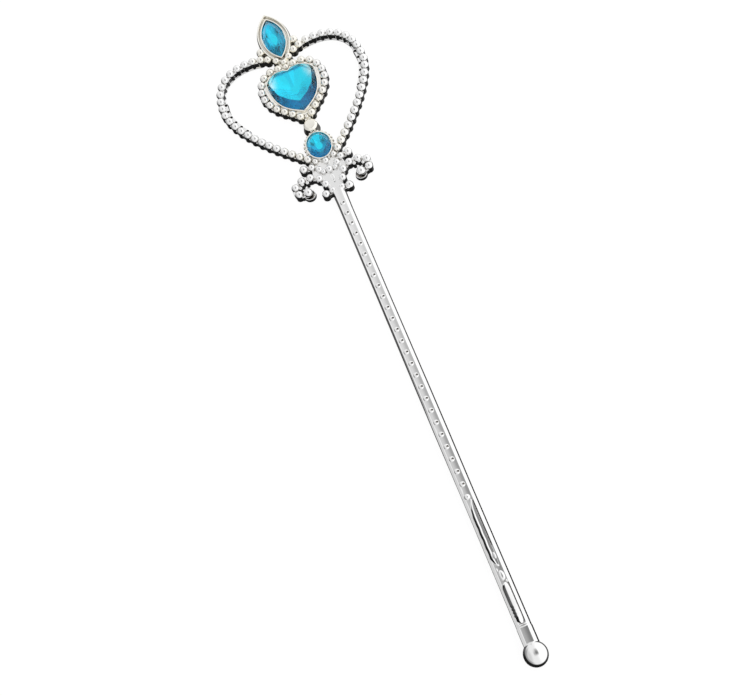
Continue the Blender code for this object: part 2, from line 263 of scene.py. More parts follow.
card = add_object("grey_card", sheet_mesh("grey_card", CARD_WIDTH, CARD_LENGTH), CARD_PLACE)
card.data.materials.append(card_material)
card.visible_camera = card.visible_diffuse = card.visible_shadow = card.visible_transmission = False
print(f"the card hangs {CARD_PLACE[2] - body_high.z:.2f} m over the wand")

# %% The table
TABLE_SIZE = 6
TABLE_GAP = 0.02 * MM  # so that the table and the wand's back don't lie in one plane
TABLE_GREY, TABLE_GLOW = 0.2, 0.84  # what it sends back of other light, and what it shines by itself

floor = add_object("floor", sheet_mesh("floor", TABLE_SIZE, TABLE_SIZE), (0, 0, body_low.z - TABLE_GAP))
floor_material = bpy.data.materials.new("white_table")
table = Recipe(floor_material)
table.shader(Base_Color=colour(TABLE_GREY, TABLE_GREY, TABLE_GREY), Roughness=1)
table.shader(Emission_Color=colour(1, 1, 1), Emission_Strength=TABLE_GLOW)
floor.data.materials.append(floor_material)
floor.visible_glossy = floor.visible_transmission = False
print(f"the table is {TABLE_GAP / MM} mm under the wand's back")

# %% [markdown]
# ## Outlines
# The head is the same on both sides of its middle line, so a closed outline is kept as its right half, from
# the lowest point to the highest, and mirrored when it's used. A plate, a pocket and a rim all follow their
# stone, so the tool that matters most is the one that moves an outline outwards. In a notch, such as the
# cleft of a heart, moved points would cross the middle line. There they're gathered at the crossing.


# %% Points along a curve
def along(spans, steps):
    """Points in metres along Bezier spans whose numbers are in millimetres."""
    points = []
    for span in spans:
        start, leaving, arriving, end = (Vector((x, y, 0)) * MM for x, y in span)
        points += interpolate_bezier(start, leaving, arriving, end, steps)[bool(points) :]
    return [point.xy for point in points]


def evenly(points, count):
    """The given number of points at equal distances along a line."""
    distances = [0.0]
    for a, b in zip(points, points[1:]):
        distances.append(distances[-1] + (b - a).length)
    found = []
    for k in range(count):
        wanted = distances[-1] * k / (count - 1)
        i = next((i for i in range(1, len(points)) if distances[i] >= wanted), len(points) - 1)
        share = (wanted - distances[i - 1]) / (distances[i] - distances[i - 1])
        found.append(points[i - 1].lerp(points[i], share))
    return found


# %% Half outlines
ON_THE_LINE = 1e-6 * MM  # what is nearer to the middle line than this counts as on it


def gathered(points):
    """A half outline whose first points don't cross the middle line."""
    crossed = max(k for k in range(len(points) // 2) if k == 0 or points[k].x < ON_THE_LINE)
    if crossed == 0:
        return points
    inside, outside = points[crossed], points[crossed + 1]
    meeting = inside.lerp(outside, -inside.x / (outside.x - inside.x))
    return [Vector((0, meeting.y))] * (crossed + 1) + points[crossed + 1 :]


def moved(right, distance):
    """A half outline with each of its sides moved outwards."""
    mirror = Vector((-1, 1))
    line = [right[1] * mirror, *right, right[-2] * mirror]
    found = []
    for before, here, after in zip(line, line[1:], line[2:]):
        first, second = (here - before).normalized(), (after - here).normalized()
        out = Vector((first.y + second.y, -first.x - second.x))
        found.append(here + out * distance / (1 + first.dot(second)))
    return gathered(gathered(found)[::-1])[::-1]


def whole(right):
    """The whole outline of a right half."""
    return right + [Vector((-point.x, point.y)) for point in right[-2:0:-1]]


def half_outline(places):
    """A right half in metres from places in millimetres, with both its ends exactly on the middle line."""
    (_, lowest), *between, (_, highest) = places
    return [Vector(place) * MM for place in ((0, lowest), *between, (0, highest))]


def pointed_oval(centre_y, half_width, half_length, steps):
    """The right one of two arcs that meet in a point at each end."""
    radius = (half_width**2 + half_length**2) / (2 * half_width)
    end = math.asin(half_length / radius)
    angles = [end * (2 * k / steps - 1) for k in range(steps + 1)]
    arc = [(radius * (math.cos(a) - 1) + half_width, centre_y + radius * math.sin(a)) for a in angles]
    return half_outline(arc)


def ellipse(centre_y, half_width, half_length, steps):
    """The right half of an ellipse."""
    turns = [math.pi * (k / steps - 0.5) for k in range(steps + 1)]
    arc = [(half_width * math.cos(a), centre_y + half_length * math.sin(a)) for a in turns]
    return half_outline(arc)


print(f"moved out by 1 mm, a radius of 1 mm becomes {moved(ellipse(0, 1, 1, 12), MM)[6].x / MM:.2f} mm")

# %% [markdown]
# ## Closed solids from rings
# Nearly everything on the wand can be made from rings of points: an outline that grows or shrinks a little
# from one height to the next, or a section that is carried along a line. Rings with caps make a bead, a plate
# or a stone's pocket, and rings that close on themselves make a rim. Each is a closed solid, so a Boolean
# modifier can join them all later.

# %% Meshes through rings
SAME_PLACE = 1e-7  # metres: points that are nearer to each other than this become one
SMALLEST_RADIUS = 1e-3  # millimetres: a turned profile that ends on the axis gets a tiny cap


def joined_rings(name, rings, closed=False):
    """A closed mesh through rings of equally many points, with caps, or closed on itself like a tyre."""
    mesh = bpy.data.meshes.new(name)
    bm = bmesh.new()
    loops = [[bm.verts.new(point) for point in ring] for ring in rings]
    count = len(rings[0])
    pairs = list(zip(loops, loops[1:])) + ([(loops[-1], loops[0])] if closed else [])
    for low, high in pairs:
        for k in range(count):
            after = (k + 1) % count
            bm.faces.new((low[k], low[after], high[after], high[k]))
    if not closed:
        bm.faces.new(loops[0][::-1])
        bm.faces.new(loops[-1])
    bmesh.ops.remove_doubles(bm, verts=bm.verts, dist=SAME_PLACE)
    bmesh.ops.recalc_face_normals(bm, faces=bm.faces)
    bm.to_mesh(mesh)
    bm.free()
    return mesh


def stacked(name, right, section, closed=False):
    """Rings that follow a half outline: each is moved out by a distance, at a height, both in millimetres."""
    rings = []
    for distance, height in section:
        rings.append([(*point, height * MM) for point in whole(moved(right, distance * MM))])
    return joined_rings(name, rings, closed)


# %% Sections
def rounded(corners, radius, steps=3):
    """A section whose inner corners are rounded. Its first and last corners stay."""
    corners = [Vector(corner) for corner in corners]
    section = [tuple(corners[0])]
    for before, here, after in zip(corners, corners[1:], corners[2:]):
        to_before, to_after = (before - here).normalized(), (after - here).normalized()
        half_turn = (math.pi - to_before.angle(to_after)) / 2
        reach = min(radius * math.tan(half_turn), (before - here).length / 2, (after - here).length / 2)
        start, end = here + to_before * reach, here + to_after * reach
        for k in range(steps + 1):
            share = k / steps
            section.append(tuple(start.lerp(here, share).lerp(here.lerp(end, share), share)))
    return section + [tuple(corners[-1])]


def half_round(outer, inner, foot, top):
    """Up one side of a rim, over its round top and down to the foot of its other side."""
    radius = (outer - inner) / 2
    turns = [math.pi * k / 8 for k in range(9)]
    arch = [((outer + inner) / 2 + radius * math.cos(a), top - radius + radius * math.sin(a)) for a in turns]
    return [(outer, foot), *arch, (inner, foot)]


def quarter_turns(steps):
    """Angles for a dome, from its top down to its widest circle."""
    return [math.pi / 2 * k / steps for k in range(steps + 1)]


def turned(name, profile, sides):
    """A closed mesh turned about Z from a profile of radius and height in millimetres, with flat caps."""
    rings = []
    for radius, height in profile:
        reach = max(radius, SMALLEST_RADIUS)
        turns = [2 * math.pi * k / sides for k in range(sides)]
        rings.append([Vector((reach * math.cos(a), reach * math.sin(a), height)) * MM for a in turns])
    return joined_rings(name, rings)


print(f"a rounded corner has {len(rounded([(0, 0), (1, 0), (1, 1)], 0.2)) - 2} points")

# %% [markdown]
# ## The beaded lines
# The head's outline, the halo round its heart and the two scrolled arms are strings of beads: round posts
# with domed tops, tied together by a low band. They're set at equal distances along a curve. A bead is turned
# once for each size, and every bead of that size shares its mesh. A mould needs slanted walls so that the
# part comes out, so each post is a little wider at its foot.

# %% A bead
EQUATOR = 3.0  # the height of a bead's widest circle
BEAD_RADIUS, ARM_BEAD_RADIUS = 1.85, 1.75
POST_INSET, NECK = 0.1, 0.3  # the post is narrower than its bead, and begins below the equator
DRAFT = 0.06  # how far the foot of a post or a wall stands out
FINE_FROM = 1.2  # beads above this radius are turned with more sides

lattice_parts = bpy.data.collections.new("lattice_parts")
bead_meshes = {}


def add_part(name, mesh, x=0, y=0, z=0, parts=lattice_parts):
    """An object at a place in millimetres, in a collection that a Boolean modifier uses later."""
    part = bpy.data.objects.new(name, mesh)
    part.location = (x * MM, y * MM, z * MM)
    parts.objects.link(part)
    return part


def add_bead(x, y, radius):
    """A bead, and its twin on the left where it stands to the right of the middle."""
    if radius not in bead_meshes:
        sides, steps = (28, 7) if radius > FINE_FROM else (20, 5)
        dome = [(radius * math.sin(a), EQUATOR + radius * math.cos(a)) for a in quarter_turns(steps)]
        post = [(radius - POST_INSET, EQUATOR - NECK), (radius - POST_INSET + DRAFT, 0)]
        bead_meshes[radius] = turned("bead", dome + post, sides)
    for side in (1, -1) if x else (1,):
        add_part("bead", bead_meshes[radius], side * x, y)


print(f"a bead is {EQUATOR + BEAD_RADIUS} mm high")

# %% A strip
BAND_TOP, BAND_WIDTH = 2.6, 2.3
STRIP_ROUNDING = 0.25


def in_metres(*places):
    """Points in metres from places in millimetres."""
    return [Vector(place) * MM for place in places]


def add_strip(line, width, top, beside=0):
    """A low strip along or beside a line of points in metres, and its twin if it's off the middle."""
    left, right = beside - width / 2, beside + width / 2
    section = rounded([(left - DRAFT, 0), (left, top), (right, top), (right + DRAFT, 0)], STRIP_ROUNDING, 2)
    rings = []
    for k, here in enumerate(line):
        way = (line[min(k + 1, len(line) - 1)] - line[max(k - 1, 0)]).normalized()
        across = Vector((way.y, -way.x))
        rings.append([(*(here + across * side * MM), height * MM) for side, height in section])
    add_part("strip", joined_rings("strip", rings))
    if any(point.x > 0 for point in line):
        twin = [[(-x, y, z) for x, y, z in ring] for ring in rings]
        add_part("strip", joined_rings("strip", twin))


print(f"the band is {BAND_TOP} mm high")

# %% Strings of beads
OUTLINE_SPANS = (
    ((9.2, 130.9), (10.0, 131.7), (33.2, 137.2), (33.2, 112.8)),
    ((33.2, 112.8), (33.8, 97.0), (1.8, 68.5), (4.2, 71.1)),
)
HALO_SPANS = (
    ((3.6, 122.6), (13.2, 123.9), (14.4, 114.5), (14.4, 112.6)),
    ((14.4, 112.6), (14.4, 103.9), (6.1, 99.2), (2.6, 94.8)),
)
ARM_SPANS = (
    ((3.8, 58.8), (4.6, 64.2), (10.9, 66.4), (15.4, 63.6)),
    ((15.4, 63.6), (17.9, 62.0), (17.4, 57.4), (12.1, 58.2)),
)
OUTLINE_BEADS, HALO_BEADS, ARM_BEADS = 24, 11, 7  # on each side
OUTLINE_END_RADIUS, ARM_END_RADIUS = 1.4, 2.0  # the last bead of a string can have a size of its own
BAND_POINTS = 4  # of the band's line for each bead


def add_string(curve, count, radius, last_radius):
    """Beads at equal distances along a curve, and the band that ties them together."""
    for k, point in enumerate(evenly(curve, count)):
        add_bead(*(point / MM), radius if k < count - 1 else last_radius)
    add_strip(evenly(curve, BAND_POINTS * count), BAND_WIDTH, BAND_TOP)


outline, halo, arm = (along(spans, steps=60) for spans in (OUTLINE_SPANS, HALO_SPANS, ARM_SPANS))
outline_beads = evenly(outline, OUTLINE_BEADS)
add_string(outline, OUTLINE_BEADS, BEAD_RADIUS, OUTLINE_END_RADIUS)
add_string(halo, HALO_BEADS, BEAD_RADIUS, BEAD_RADIUS)
add_string(arm, ARM_BEADS, ARM_BEAD_RADIUS, ARM_END_RADIUS)
print(f"the outline's beads are {(outline_beads[1] - outline_beads[0]).length / MM:.2f} mm apart")

# %% [markdown]
# ## Beads and strips that stand alone
# Single beads fill the gaps between the strings. They're chosen one by one, by x, y and radius. Short strips
# tie them to the rest, so that the moulding holds together.

# %% Single beads
TOP_BEADS = ((8.0, 134.5, 1.85), (6.2, 129.5, 1.8), (2.95, 127.1, 1.7))
FOOT_BEADS = ((6.7, 68.9, 1.6), (10.2, 69.4, 1.85), (4.05, 66.7, 1.55))
WEB_BEADS = ((2.7, 65.0, 1.2),)
SCROLL_BEADS = ((10.8, 62.95, 0.85), (13.1, 63.1, 0.85), (14.4, 61.7, 0.8))
SHAFT_BEADS = ((5.3, 54.2, 1.8), (2.1, 54.8, 1.5))
MIDDLE_BEADS = ((0, 124.9, 1.5), (0, 122.1, 1.5), (0, 94.0, 0.95), (0, 69.5, 1.6), (0, 65.0, 1.7))

for bead in TOP_BEADS + FOOT_BEADS + WEB_BEADS + SCROLL_BEADS + SHAFT_BEADS + MIDDLE_BEADS:
    add_bead(*bead)

# %% Short strips
SHORT_STRIPS = (
    (BAND_WIDTH, (9.2, 130.9), (5.5, 129.5)),  # from the outline's first bead towards the middle
    (2.8, (0, 98), (0, 80)),  # the stem between the heart and the oval
    (5.0, (0, 128), (0, 118)),  # the neck between the pointed stone and the heart
    (BAND_WIDTH, (3.5, 68.7), (6.7, 68.9), (10.2, 69.4)),  # out to the beads under the oval
    (BAND_WIDTH, (1.5, 54.7), (5.3, 54.2)),  # out to the beads beside the shaft
)

for width, *places in SHORT_STRIPS:
    add_strip(in_metres(*places), width, BAND_TOP)
print(len(SHORT_STRIPS), "short strips")

# %% [markdown]
# ## Ledges and curls
# Inside the outline, ledges lie beside the band and follow its line: along the top a narrow one that is
# higher than the band, with a thin flange at its foot, and down the sides a wider and lower one. In each
# scroll's curl lies a little round dish.

# %% Ledges inside the outline
TOP_FROM, SIDE_FROM, SIDE_TO = 117, 97, 118  # the ledges' ends, by their y

band_line = evenly(outline, BAND_POINTS * OUTLINE_BEADS)
top_ledge = [point for point in band_line if point.y > TOP_FROM * MM]
side_ledge = [point for point in band_line if SIDE_FROM * MM < point.y < SIDE_TO * MM]
add_strip(top_ledge, width=1.4, top=3.1, beside=0.75)
add_strip(top_ledge, width=0.8, top=0.3, beside=1.4)
add_strip(side_ledge, width=2.5, top=2.5, beside=1.35)
print(f"the ledges have {len(top_ledge)} and {len(side_ledge)} points")

# %% Curls
CURL_X, CURL_Y = 11.8, 57.9
CURL = [(0, 0.5), (2.1, 0.5), (2.2, 1.75), (2.5, 1.75), (2.65, 0)]  # from the dish's floor over its rim

curl = rounded(CURL, 0.12)
for side in (1, -1):
    add_part("curl", turned("curl", curl, 40), side * CURL_X, CURL_Y)
print(f"a curl is {2 * CURL[-1][0]} mm wide")

# %% [markdown]
# ## The foot of the head
# Where the head meets the shaft, a flat web fills the space between the two arms, and a small drop is raised
# on it. The web is an outline like the others, only with corners instead of curves.

# %% Web and drop
WEB = in_metres((0, 53), (2.4, 53), (3.2, 56.5), (4.2, 60.5), (6.6, 63.3), (7.4, 66.0), (6.6, 69.8))
WEB += in_metres((4.4, 72.8), (0, 72.8))
WEB_TOP = 2.5
PLATE_ROUNDING = 0.3
DROP_OUTLINE = (60.6, 0.85, 1.7)  # the y of its centre, half its width and half its length
DROP = [(0, 2), (0, 3.5), (-0.12, 3.77), (-0.4, 3.9)]  # its wall, and a shoulder that leans inwards

add_part("web", stacked("web", WEB, rounded([(DRAFT, 0), (0, WEB_TOP), (-0.6, WEB_TOP)], PLATE_ROUNDING, 2)))
add_part("drop", stacked("drop", ellipse(*DROP_OUTLINE, 12), DROP))
print(f"the drop stands {DROP[-1][1] - WEB_TOP:.1f} mm over the web")

# %% [markdown]
# ## The three settings
# Each stone sits in a pocket with a thin round-topped rim. The pointed stone at the top has two rims with a
# groove between them, and the heart and the oval lie on plates. The plates join the beads first, then the
# pockets are cut, and the rims come last. In that order no bead or strip is left standing inside a pocket.
# So there are three collections: one to join, one to cut away and one to join after that.

# %% The stones' outlines
POINTED = (138.65, 4.85, 10.75)  # given like the drop
OVAL_Y, OVAL_HALF_WIDTH, OVAL_HALF_LENGTH = 77.6, 5.1, 6.2
HEART_SPANS = (
    ((0, 97.0), (7.2, 101.3), (9.9, 103.7), (11.0, 114.8)),
    ((11.0, 114.8), (11.3, 118.4), (3.4, 122.7), (0, 118.6)),
)

stones = {
    "pointed": pointed_oval(*POINTED, 36),
    "heart": along(HEART_SPANS, steps=26),
    "oval": ellipse(OVAL_Y, OVAL_HALF_WIDTH, OVAL_HALF_LENGTH, 32),
}
for name, stone in stones.items():
    print(f"the {name} stone is {2 * max(point.x for point in stone) / MM:.1f} mm wide")

# %% Plates
PLATE_TOP = 3.3
PLATE_REACH = {"heart": 2.0, "oval": 1.2}  # how far a plate goes past its stone
RIM_TOP = 4.3
POINTED_PLATE = (138.5, 7.3, 14.5)  # given like the stone
OUTER_RIM, OUTER_RIM_INSET, GROOVE_FLOOR = 0.7, 0.2, 2.9

for name, reach in PLATE_REACH.items():
    plate = rounded([(reach + DRAFT, 0), (reach, PLATE_TOP), (0, PLATE_TOP)], PLATE_ROUNDING)
    add_part(name + "_plate", stacked("plate", stones[name], plate))
pointed_plate = pointed_oval(*POINTED_PLATE, 36)
wall = [(0.25, 0), (0.2, GROOVE_FLOOR)]  # from here it slopes in to the outer rim
outer_rim = half_round(-OUTER_RIM_INSET, -OUTER_RIM_INSET - OUTER_RIM, GROOVE_FLOOR, RIM_TOP)
add_part("pointed_plate", stacked("plate", pointed_plate, [*wall, *outer_rim[1:]]))
print(f"the pointed setting reaches y = {max(point.y for point in pointed_plate) / MM:.1f} mm")

# %% Pockets and rims
POCKET_FLOOR = 1.1
RIM_OUT, RIM_IN = 0.8, 0.12  # how far a rim's outer and inner sides are from the stone
RIM_ROOT = 0.3  # how deep a rim goes into its pocket's floor
OVERLAP = 0.2  # how far a pocket is cut into its rim's place
POCKET_OVER_RIM = 2  # how far a pocket's solid reaches over the rim

pockets = bpy.data.collections.new("pockets")
rims = bpy.data.collections.new("rims")
rim = half_round(RIM_OUT, RIM_IN, POCKET_FLOOR - RIM_ROOT, RIM_TOP)
pocket = [(RIM_IN + OVERLAP, POCKET_FLOOR), (RIM_IN + OVERLAP, RIM_TOP + POCKET_OVER_RIM)]
for name, stone in stones.items():
    add_part(name + "_rim", stacked("rim", stone, rim, closed=True), parts=rims)
    add_part(name + "_pocket", stacked("pocket", stone, pocket), parts=pockets)
print(f"a rim is {RIM_OUT - RIM_IN:.2f} mm thick, and its pocket is {RIM_TOP - POCKET_FLOOR:.1f} mm deep")

# %% [markdown]
# ## Marks and hollows
# When a mould opens, round pins push the part out, and each leaves a shallow mark on its flat back. The
# ledge down each side of the outline is hollowed between every two beads. Both are cut with the pockets.

# %% Marks on the back
MARK_YS = (112, 77, 40, -10, -60, -110)
MARK_DEPTH = 0.12

mark = turned("mark", [(0, MARK_DEPTH), (1.1, MARK_DEPTH), (1.25, -1)], 32)
for y in MARK_YS:
    add_part("ejector_mark", mark, y=y, parts=pockets)
print(f"{len(MARK_YS)} marks, {MARK_DEPTH} mm deep")

# %% Hollows between the outline's beads
HOLLOW = [(0, 0.3), (0.5, 0.4), (0.7, 2.4), (0.75, 4)]
HOLLOW_INWARDS = 1.8  # from the line of the beads
HOLLOWS_FROM, HOLLOWS_TO = 98, 121

hollow = turned("hollow", HOLLOW, 16)
for before, after in zip(outline_beads, outline_beads[1:]):
    middle = (before + after) / 2
    way = (after - before).normalized()
    if HOLLOWS_FROM * MM < middle.y < HOLLOWS_TO * MM:
        place = middle / MM + Vector((way.y, -way.x)) * HOLLOW_INWARDS
        for side in (1, -1):
            add_part("hollow", hollow, side * place.x, place.y, parts=pockets)

# %% [markdown]
# ## The boss and the ring round the oval
# Between the heart and the oval stands a round boss with a flat face and a sloping edge. Round the oval's rim
# runs a line of very small beads, each less than a millimetre across. They stand on the oval's plate, with
# two more at the foot of the boss. They come with the rims, so that no pocket cuts them.

# %% The boss
BOSS_Y = 88.6
BOSS = [(0, 4.9), (2.15, 4.9), (3.05, 4.05), (3.1, 3.3), (3.75, 0)]

add_part("boss", turned("boss", rounded(BOSS, 0.2), 48), y=BOSS_Y)
print(f"the boss is {2 * BOSS[-1][0]} mm wide at its foot")

# %% Tiny beads
TINY_RADIUS, TINY_FROM_STONE = 0.45, 1.25
LAST_TINY = 12  # counted from 0 on the right, and the first and the last have no twin
BOSS_TINY_X, BOSS_TINY_Y = 0.85, 85.5
TINY = [(0, TINY_RADIUS), (0.17, 0.42), (0.32, 0.32), (0.42, 0.17), (TINY_RADIUS, 0), (TINY_RADIUS, -1)]

tiny = turned("tiny", TINY, 12)
tiny_ring = ellipse(OVAL_Y, OVAL_HALF_WIDTH + TINY_FROM_STONE, OVAL_HALF_LENGTH + TINY_FROM_STONE, 60)
for k, point in enumerate(evenly(tiny_ring, LAST_TINY + 1)):
    for side in (1, -1) if 0 < k < LAST_TINY else (1,):
        add_part("tiny", tiny, side * point.x / MM, point.y / MM, PLATE_TOP, rims)
for side in (1, -1):
    add_part("tiny", tiny, side * BOSS_TINY_X, BOSS_TINY_Y, PLATE_TOP, rims)
print(f"a tiny bead is {2 * TINY_RADIUS} mm across")

# %% [markdown]
# ## The shaft
# The shaft has a flat back, slanted walls, sloping shoulders and a slightly domed front, so that the light
# changes softly across it. It's a section that is carried along Y. Towards the handle the shoulder on the
# left becomes wider and flatter, so there are two sections, and each station along the shaft takes a share of
# the second. At the head the shaft widens a little, and close to the ball it steps out to a collar.

# %% The shaft's two sections
SHAFT_TOP = 4.6
DOME_RADIUS = 24

front = [(x, SHAFT_TOP - x * x / (2 * DOME_RADIUS)) for x in (0.9, 0.5, 0, -0.5, -1.0, -1.5)]
right_side = rounded([(3.05, 0), (2.5, 3.6), (1.35, 4.5), front[0]], 0.25)[:-1] + front
upper_section = right_side + rounded([front[-1], (-1.95, 4.46), (-2.25, 3.9), (-2.75, 0)], 0.15)[1:]
handle_section = right_side + rounded([front[-1], (-1.75, 4.46), (-2.7, 4.0), (-2.8, 0)], 0.15)[1:]
print(f"each section has {len(upper_section)} points")

# %% The shaft
# Each station is a y, a share of the section's width, and how much of the handle's section it takes.
HEAD_STATIONS = ((53.8, 1.03, 0), (50, 0.99, 0), (45, 0.96, 0), (0, 0.96, 0))
HANDLE_STATIONS = ((-40, 1, 0.2), (-60, 1, 0.6), (-85, 0.96, 1), (-137.8, 0.99, 1))
COLLAR_STATIONS = ((-138.0, 1.03, 1), (-145.0, 1.03, 1))

rings = []
for y, wide, share in HEAD_STATIONS + HANDLE_STATIONS + COLLAR_STATIONS:
    ring = [Vector(high).lerp(Vector(low), share) for high, low in zip(upper_section, handle_section)]
    rings.append([Vector((x * wide, y, z)) * MM for x, z in ring])
shaft = joined_rings("shaft", rings)
print(f"the shaft is {HEAD_STATIONS[0][0] - COLLAR_STATIONS[-1][0]:.1f} mm long")

# %% [markdown]
# ## The shaft's small beads
# A row of small beads runs down the front, a little left of its middle. They're domes that are sunk a little
# into it, and each has a fine pit to the right of its top. The pits are cut out with the pockets.

# %% Small beads and their pits
SMALL_BEADS, SMALL_PITCH = 26, 5.17
SMALL_RADIUS, SMALL_SUNK = 1.15, 0.15
SMALL_X, SMALL_Y = -0.35, 46.5  # the first one, and the others follow towards the handle
PIT_X, PIT_Y, PIT_HEIGHT = 0.2, 46.4, 0.25
PIT = [(0, -0.6), (0.3, -0.5), (0.4, 0), (0.45, 1.2)]

small_dome = [(SMALL_RADIUS * math.sin(a), math.cos(a) - SMALL_SUNK) for a in quarter_turns(6)]
small = turned("small", small_dome + [(SMALL_RADIUS, -1)], 24)
pit = turned("pit", PIT, 16)
for k in range(SMALL_BEADS):
    add_part("small_bead", small, SMALL_X, SMALL_Y - SMALL_PITCH * k, SHAFT_TOP)
    add_part("pit", pit, PIT_X, PIT_Y - SMALL_PITCH * k, SHAFT_TOP + PIT_HEIGHT, pockets)
print(f"the row is {SMALL_PITCH * (SMALL_BEADS - 1):.1f} mm long")

# %% [markdown]
# ## The handle's leaves
# Below the last small bead comes a larger one, and there the handle begins. A long leaf, a bud and a shorter
# leaf are raised on it. Each leaf has a steep flank on the left, a ridge, and a flatter flank that ends in a
# low step on the right. So a leaf is one section that is repeated along it, narrow at its ends. The long leaf
# waves a little, the short one is notched towards its end, and two cross bars end it. A fine groove runs down
# the right of each.


# %% How a leaf is made
LEAF_FULLNESS = 1.4  # a leaf keeps its full height until it's narrower than 1 / 1.4 of its width


def add_leaf(section, stations):
    """A raised leaf: its section of x and height over the shaft, at stations of y, width and shift."""
    rings = []
    for y, wide, shift in stations:
        high = min(1, wide * LEAF_FULLNESS)
        rings.append([Vector((x * wide + shift, y, SHAFT_TOP + z * high)) * MM for x, z in section])
    add_part("leaf", joined_rings("leaf", rings))


# %% The long leaf
LONG_LEAF = [(-1.7, -0.5), (-1.65, -0.12), (-0.85, 1.05), (-0.7, 1.0), (-0.3, 0.5), (0.75, 0.4)]
LONG_LEAF += [(0.8, -0.15), (0.8, -0.5)]
LEAF_ROUNDING = 0.12
WAVE, WAVE_TURN = 0.06, 1.3  # how far it waves sideways, and how far the wave turns in each millimetre

stations = [(-88.6, 0.05, 0.2), (-89.6, 0.35, 0.55), (-91, 0.62, 0.35), (-93, 0.85, 0.1), (-96, 1, 0)]
stations += [(-99 - k, 1, WAVE * math.sin(k * WAVE_TURN)) for k in range(14)]
stations += [(-114.2, 0.7, 0.1), (-115.4, 0.2, 0.3)]
add_leaf(rounded(LONG_LEAF, LEAF_ROUNDING, 2), stations)
print(f"the long leaf is {stations[0][0] - stations[-1][0]:.1f} mm long")

# %% The short leaf
SHORT_LEAF = [(-1.85, -0.6), (-1.8, -0.12), (-0.7, 1.35), (-0.55, 1.3), (0.8, 0.95), (0.9, -0.2), (0.9, -0.6)]
NOTCH_PITCH, NOTCH_NARROWING, NOTCH_SHIFT = 0.6, 0.06, 0.1  # every second station is narrower and shifted

stations = [(-121.4, 0.3, 0.1), (-122.2, 0.8, 0), (-123.5, 1, 0), (-129, 1, 0)]
for k in range(8):
    notched = k % 2
    stations.append((-130 - NOTCH_PITCH * k, 1 - NOTCH_NARROWING * notched, NOTCH_SHIFT * notched))
stations += [(-135.6, 0.9, 0), (-136.6, 0.5, 0)]
add_leaf(rounded(SHORT_LEAF, LEAF_ROUNDING, 2), stations)
print(f"the short leaf is {stations[0][0] - stations[-1][0]:.1f} mm long")

# %% Large bead, bud and cross bars
BUTTON_SUNK = 0.08
# Each button is an x and a y, half its width, half its length, and its height.
BUTTONS = (
    (-0.55, -87.9, 1.2, 1.2, 1.1),  # the large bead at the end of the row
    (0.3, -111.3, 0.55, 1.7, 0.75),  # a drop on the long leaf
    (-0.1, -118.8, 1.1, 2.0, 0.75),  # the bud
    (0.75, -121.0, 0.4, 0.6, 0.8),  # a grain under it
    (-1.0, -116.4, 0.4, 0.7, 0.5),  # and one over it
    (-0.1, -137.0, 1.7, 0.3, 0.45),  # two cross bars
    (-0.1, -137.7, 1.7, 0.3, 0.45),
)


def add_button(x, y, half_width, half_length, height):
    """A low oval button on the shaft's front: a round one that is scaled."""
    dome = [(math.sin(a), math.cos(a)) for a in quarter_turns(6)]
    button = add_part("button", turned("button", dome + [(1, -1)], 24), x, y, SHAFT_TOP - BUTTON_SUNK)
    button.scale = (half_width, half_length, height)


for button in BUTTONS:
    add_button(*button)
print(f"{len(BUTTONS)} buttons")

# %% Grooves
GROOVES = ((0.95, -89.5, -107.5), (1.2, -121.8, -136.2))  # the x, and the ends by their y
GROOVE = [(-0.25, 1.5), (-0.2, 0), (0, -0.5), (0.2, 0), (0.25, 1.5)]

for groove_x, *ends in GROOVES:
    rings = [[Vector((groove_x + side, y, SHAFT_TOP + z)) * MM for side, z in GROOVE] for y in ends]
    add_part("groove", joined_rings("groove", rings), parts=pockets)
print(f"the grooves are {-GROOVE[2][1]} mm deep")

# %% [markdown]
# ## The ball
# The ball is turned like the beads. Its centre is a little nearer to the table than its radius, so its
# profile stops at the table, and it rests on a small flat foot.

# %% The ball
BALL_RADIUS, BALL_HEIGHT, BALL_PLACE = 4.5, 4.2, (0.05, -147.9)

last_turn = math.acos(-BALL_HEIGHT / BALL_RADIUS)
turns = [last_turn * k / 24 for k in range(25)]
ball = [(BALL_RADIUS * math.sin(a), BALL_HEIGHT + BALL_RADIUS * math.cos(a)) for a in turns]
add_part("ball", turned("ball", ball, 56), *BALL_PLACE)
print(f"the ball's foot is {2 * ball[-1][0]:.1f} mm wide")

# %% [markdown]
# ## One moulding
# The wand came out of its mould as one piece, so it's one mesh here too. The Boolean modifier joins closed
# solids and removes what's hidden inside them, which a plain join wouldn't do. Its Manifold solver is fast.
# It takes a whole collection at once. The parts are removed when the result is a mesh of its own.

# %% Join, cut and join
STEPS = (("UNION", lattice_parts), ("DIFFERENCE", pockets), ("UNION", rims))

raw = add_object("raw_moulding", shaft)
for operation, solids in STEPS:
    scene.collection.children.link(solids)
    boolean = raw.modifiers.new(operation.lower(), "BOOLEAN")
    boolean.operation = operation
    boolean.solver = "MANIFOLD"
    boolean.operand_type = "COLLECTION"
    boolean.collection = solids
view = bpy.context.evaluated_depsgraph_get()
moulding_mesh = bpy.data.meshes.new_from_object(raw.evaluated_get(view))
moulding_mesh.name = "plated_moulding"
moulding = add_object("plated_moulding", moulding_mesh)
for _, solids in STEPS:
    for part in list(solids.objects):
        bpy.data.objects.remove(part)
    bpy.data.collections.remove(solids)
bpy.data.objects.remove(raw)
bpy.data.orphans_purge()
print(f"one mesh of {len(moulding_mesh.polygons)} faces")

# %% [markdown]
# ## Soft edges
# Smooth shading makes a dome of flat faces look round, and an edge stays sharp where its two faces meet at a
# large angle. A Weighted Normal modifier keeps the large flat faces flat beside their rounded edges.

# %% Smooth shading
SHARP_ANGLE = 34  # degrees

